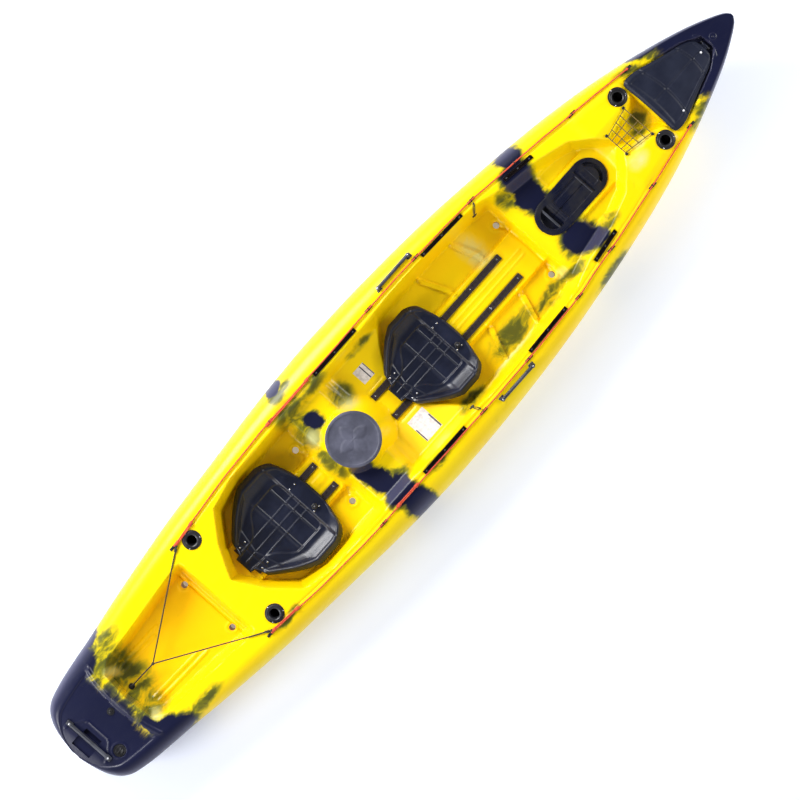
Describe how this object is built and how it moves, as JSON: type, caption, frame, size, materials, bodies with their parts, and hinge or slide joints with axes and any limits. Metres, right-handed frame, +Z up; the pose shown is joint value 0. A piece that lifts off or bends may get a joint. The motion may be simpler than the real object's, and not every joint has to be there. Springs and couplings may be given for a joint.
{
  "type": "sit-on-top fishing kayak",
  "caption": "Sit-on-top tandem fishing kayak: hollow moulded hull with bow and round hatches, sliding moulded seats on rails, drive-well plug, rod holders, gear tracks and deck lines.",
  "frame": {"origin": "middle of the bounding box, on the plane of the flat bottom", "axes": "+X towards the bow, +Y to port, +Z up"},
  "size_m": [4.27, 0.8816, 0.38],
  "materials": {
    "hull_shell": "satin rotomoulded polyethylene, yellow with black patches",
    "hatch_lid": "satin",
    "seal_rubber": "matt",
    "hatch_rubber": "matt",
    "plug_plastic": "glossy",
    "holder_plastic": "satin",
    "seat_plastic": "glossy blow-moulded",
    "rail_metal": "dark anodised",
    "shoe_plastic": "matt",
    "screw_steel": "bright",
    "track_metal": "black anodised",
    "handle_plastic": "satin",
    "fitting_plastic": "satin",
    "red_cord": "braided",
    "black_cord": "braided",
    "stud_plastic": "glossy",
    "label_film": "satin, blank"
  },
  "bodies": {
    "hull_body": {"hull": "hull_shell", "bow_gasket": "seal_rubber", "lid_hinge_bracket": "fitting_plastic", "lid_hinge_pin": "screw_steel", "rod_holder_aft_port": "holder_plastic", "rod_holder_aft_starboard": "holder_plastic", "rod_holder_front_port": "holder_plastic", "rod_holder_front_starboard": "holder_plastic", "rod_holder_screws": "screw_steel", "rail_front_port": "rail_metal", "rail_front_starboard": "rail_metal", "rail_rear_port": "rail_metal", "rail_rear_starboard": "rail_metal", "rail_screws": "screw_steel", "track_mid_port": "track_metal", "track_mid_starboard": "track_metal", "track_foot_port": "track_metal", "track_foot_starboard": "track_metal", "track_bow_port": "track_metal", "track_bow_starboard": "track_metal", "track_screws": "screw_steel", "side_handle_port": "handle_plastic", "side_handle_starboard": "handle_plastic", "side_handle_screws": "screw_steel", "stern_handle": "handle_plastic", "stern_handle_screws": "screw_steel", "drain_seat": "fitting_plastic", "transom_stud": "fitting_plastic", "padeyes_port": "fitting_plastic", "padeyes_starboard": "fitting_plastic", "deck_line_port": "red_cord", "deck_line_starboard": "red_cord", "bungee": "black_cord", "bungee_hook": "fitting_plastic", "keeper_loops": "black_cord", "keeper_hooks": "fitting_plastic", "cargo_net": "black_cord", "net_eyes": "fitting_plastic", "label_port": "label_film", "label_starboard": "label_film"},
    "bow_hatch": {"bow_lid": "hatch_lid", "lid_studs": "stud_plastic"},
    "round_hatch": {"hatch_cover": "hatch_rubber"},
    "drive_cover": {"drive_plug": "plug_plastic", "drive_plug_bar": "holder_plastic"},
    "front_seat": {"seat_pan_front": "seat_plastic", "seat_shoes_front": "shoe_plastic", "seat_screws_front": "screw_steel", "knob_stud_front": "screw_steel"},
    "front_knob": {"seat_knob_front": "fitting_plastic"},
    "rear_seat": {"seat_pan_rear": "seat_plastic", "seat_shoes_rear": "shoe_plastic", "seat_screws_rear": "screw_steel", "knob_stud_rear": "screw_steel"},
    "rear_knob": {"seat_knob_rear": "fitting_plastic"},
    "drain_screw": {"drain_plug": "fitting_plastic"}
  },
  "joints": [
    {"name": "bow_hatch_hinge", "type": "hinge", "parent": "hull_body", "child": "bow_hatch", "pos_m": [1.964, 0, 0.352], "axis": [0, 1, 0], "range_deg": [0, 85]},
    {"name": "round_hatch_lift", "type": "slide", "parent": "hull_body", "child": "round_hatch", "axis": [0, 0, 1], "range_m": [0, 0.12]},
    {"name": "drive_plug_lift", "type": "slide", "parent": "hull_body", "child": "drive_cover", "axis": [0, 0, 1], "range_m": [0, 0.26]},
    {"name": "front_seat_slide", "type": "slide", "parent": "hull_body", "child": "front_seat", "axis": [1, 0, 0], "range_m": [0, 0.28]},
    {"name": "front_knob_turn", "type": "hinge", "parent": "front_seat", "child": "front_knob", "pos_m": [0.29754, -0.058, 0.165], "axis": [0, 0, 1], "continuous": true},
    {"name": "rear_seat_slide", "type": "slide", "parent": "hull_body", "child": "rear_seat", "axis": [1, 0, 0], "range_m": [0, 0.05]},
    {"name": "rear_knob_turn", "type": "hinge", "parent": "rear_seat", "child": "rear_knob", "pos_m": [-0.644, -0.058, 0.165], "axis": [0, 0, 1], "continuous": true},
    {"name": "drain_plug_turn", "type": "hinge", "parent": "hull_body", "child": "drain_screw", "pos_m": [-1.993, -0.128, 0.26], "axis": [0, 0, 1], "continuous": true}
  ]
}
